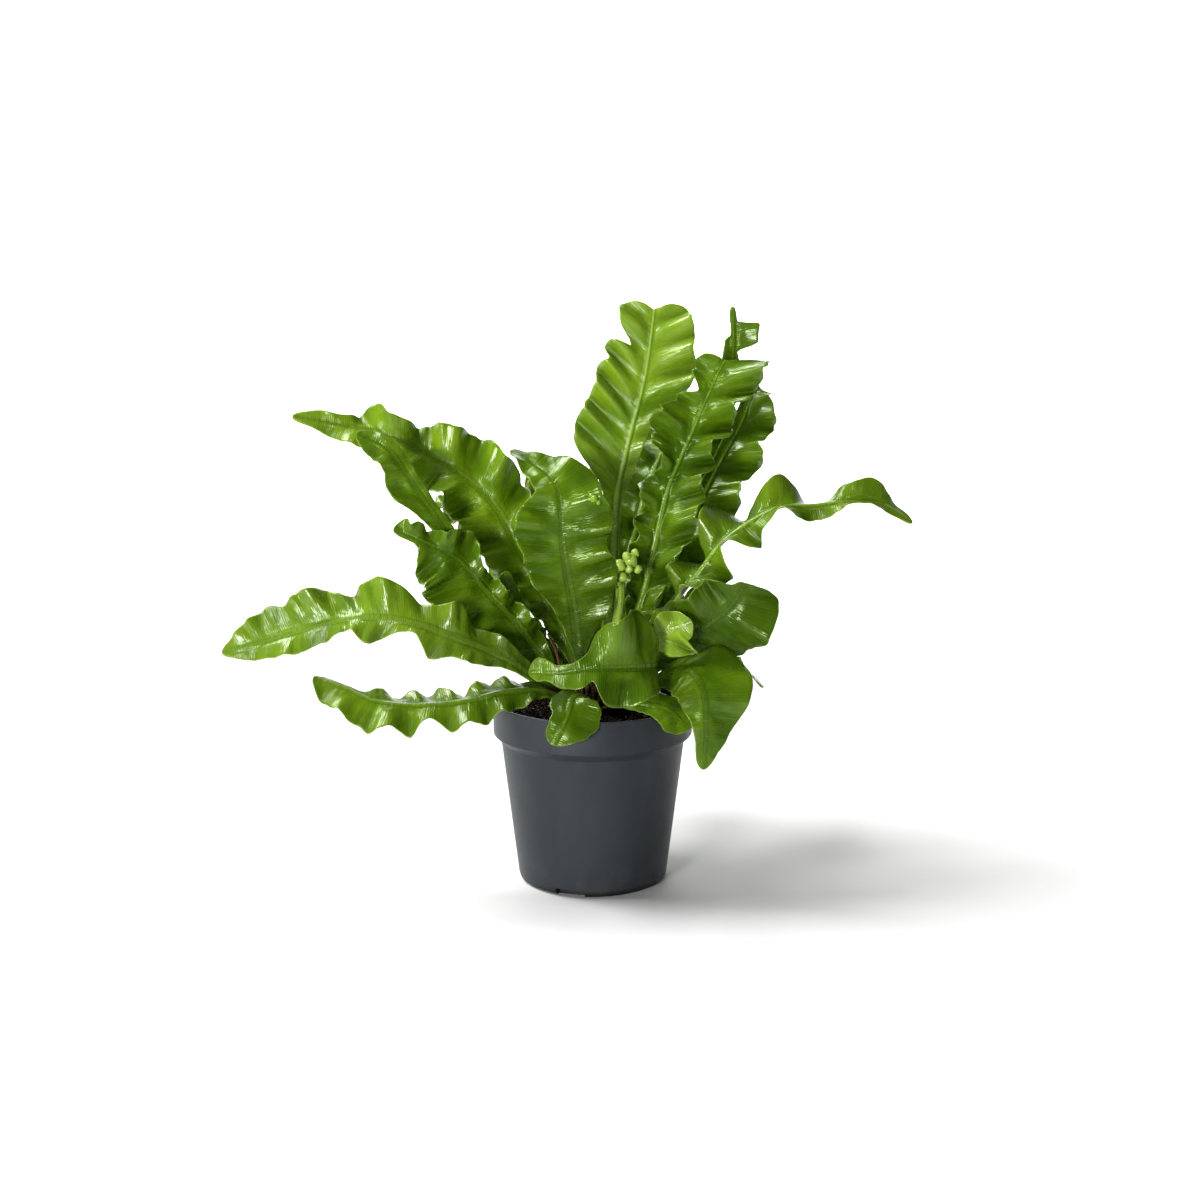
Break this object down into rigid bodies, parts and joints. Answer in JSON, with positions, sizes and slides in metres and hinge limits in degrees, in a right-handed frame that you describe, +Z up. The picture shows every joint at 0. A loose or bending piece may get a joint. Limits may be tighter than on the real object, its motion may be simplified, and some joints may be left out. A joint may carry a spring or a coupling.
{
  "type": "potted fern",
  "caption": "Bird's-nest fern with long waved strap fronds rising and arching from a brown crown, in a tapered round nursery pot filled with soil.",
  "frame": {"origin": "the middle of the pot's underside, on the surface that it stands on", "axes": "+Z up along the pot's axis, the plant's front towards -Y, its two longest side fronds along X"},
  "size_m": [0.4063, 0.2465, 0.345],
  "materials": {
    "pot_plastic": "dark blue-grey moulded plastic, satin",
    "soil": "moist dark potting soil with pale grains",
    "crown_scales": "brown papery scales",
    "leaf_mid": "glossy leaf with a pale midrib",
    "leaf_dark": "glossy dark green leaf",
    "leaf_bright": "glossy yellow-green leaf"
  },
  "bodies": {
    "root": {"pot": "pot_plastic", "soil": "soil", "crown": "crown_scales", "frond_tall": "leaf_bright", "frond_glossy": "leaf_dark", "frond_leaning": "leaf_dark", "frond_torn": "leaf_dark", "frond_reaching": "leaf_mid", "frond_dark": "leaf_dark", "frond_hanging": "leaf_dark", "frond_shell": "leaf_dark", "frond_spoon": "leaf_bright", "frond_tongue": "leaf_dark", "frond_lip": "leaf_dark", "frond_low": "leaf_mid", "frond_long": "leaf_bright", "frond_upper": "leaf_mid", "frond_curling": "leaf_dark", "frond_elbow": "leaf_dark", "frond_shield": "leaf_dark", "frond_frilled": "leaf_dark", "frond_young": "leaf_bright", "frond_back_low": "leaf_mid", "frond_back_tall": "leaf_dark", "frond_back_right": "leaf_mid", "frond_back_left": "leaf_mid", "frond_back_wide": "leaf_mid", "frond_back_drooping": "leaf_mid", "frond_back_far": "leaf_mid", "frond_back_side": "leaf_mid", "frond_inner": "leaf_dark"}
  },
  "joints": []
}
